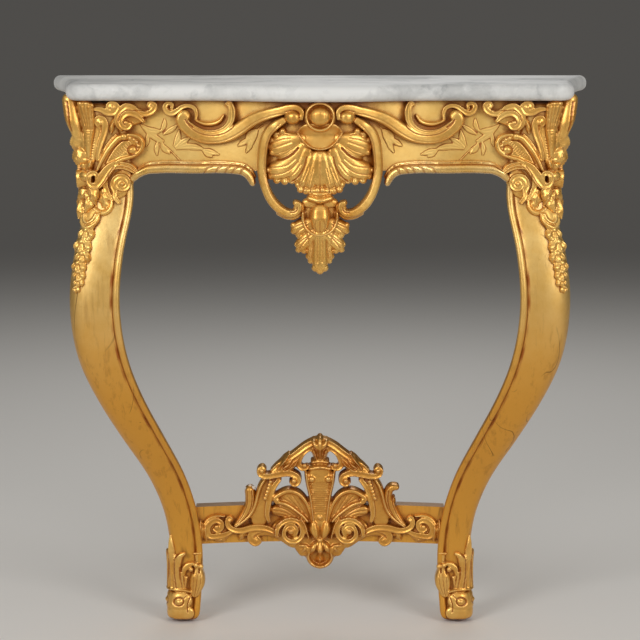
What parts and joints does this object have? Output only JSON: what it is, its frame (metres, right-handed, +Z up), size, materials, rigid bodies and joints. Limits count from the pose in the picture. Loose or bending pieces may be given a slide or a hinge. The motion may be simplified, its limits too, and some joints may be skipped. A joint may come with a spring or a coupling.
{
  "type": "pier table",
  "caption": "Carved and gilded wall table with a veined marble top, scrolled front legs, a shell apron and a pierced crest on the stretcher.",
  "frame": {"origin": "on the floor, in the middle of the plan of the marble top", "axes": "+Z up, +X to the viewer's right, +Y towards the wall"},
  "size_m": [0.882, 0.4, 0.87],
  "materials": {
    "marble": "honed white marble with grey veins, rounded edge",
    "gilt_wood": "carved wood, gesso and red bole, gold leaf rubbed on the high parts",
    "bare_wood": "plain sawn softwood, unfinished",
    "steel": "dull steel wood screws"
  },
  "bodies": {
    "frame": {"apron_moulding_left": "gilt_wood", "apron_moulding_right": "gilt_wood", "back_rail": "bare_wood", "bearer": "bare_wood", "block_screws": "steel", "calyx": "gilt_wood", "centre_boss": "gilt_wood", "corner_scroll_left": "gilt_wood", "corner_scroll_right": "gilt_wood", "crest_arch_left": "gilt_wood", "crest_arch_right": "gilt_wood", "crest_band_left": "gilt_wood", "crest_band_right": "gilt_wood", "crest_board": "gilt_wood", "crest_bow": "gilt_wood", "crest_finial": "gilt_wood", "crest_plume": "gilt_wood", "crest_rosette": "gilt_wood", "crest_volute_left": "gilt_wood", "crest_volute_right": "gilt_wood", "crest_wing_left": "gilt_wood", "crest_wing_right": "gilt_wood", "egg": "gilt_wood", "egg_rim": "gilt_wood", "end_scroll_left": "gilt_wood", "end_scroll_right": "gilt_wood", "foot_leaf_left": "gilt_wood", "foot_leaf_right": "gilt_wood", "front_apron": "gilt_wood", "glue_blocks": "bare_wood", "horn_left_broken": "gilt_wood", "horn_right": "gilt_wood", "husk_drop_left": "gilt_wood", "husk_drop_right": "gilt_wood", "inner_scroll_left": "gilt_wood", "inner_scroll_right": "gilt_wood", "knee_feather_left": "gilt_wood", "knee_feather_right": "gilt_wood", "knee_palmette_left": "gilt_wood", "knee_palmette_right": "gilt_wood", "knee_volute_left": "gilt_wood", "knee_volute_right": "gilt_wood", "leg_left": "gilt_wood", "leg_right": "gilt_wood", "long_scroll_left": "gilt_wood", "long_scroll_right": "gilt_wood", "pendant_leaf": "gilt_wood", "ring_scroll_left": "gilt_wood", "ring_scroll_right": "gilt_wood", "s_scroll_left": "gilt_wood", "s_scroll_right": "gilt_wood", "shell": "gilt_wood", "shell_saucer": "gilt_wood", "side_apron_left": "gilt_wood", "side_apron_right": "gilt_wood", "stretcher": "gilt_wood", "tenon_pegs": "bare_wood"},
    "marble": {"marble_top": "marble"}
  },
  "joints": [
    {"name": "marble_lift", "type": "slide", "parent": "frame", "child": "marble", "axis": [0, 0, 1], "range_m": [0, 0.1]}
  ]
}
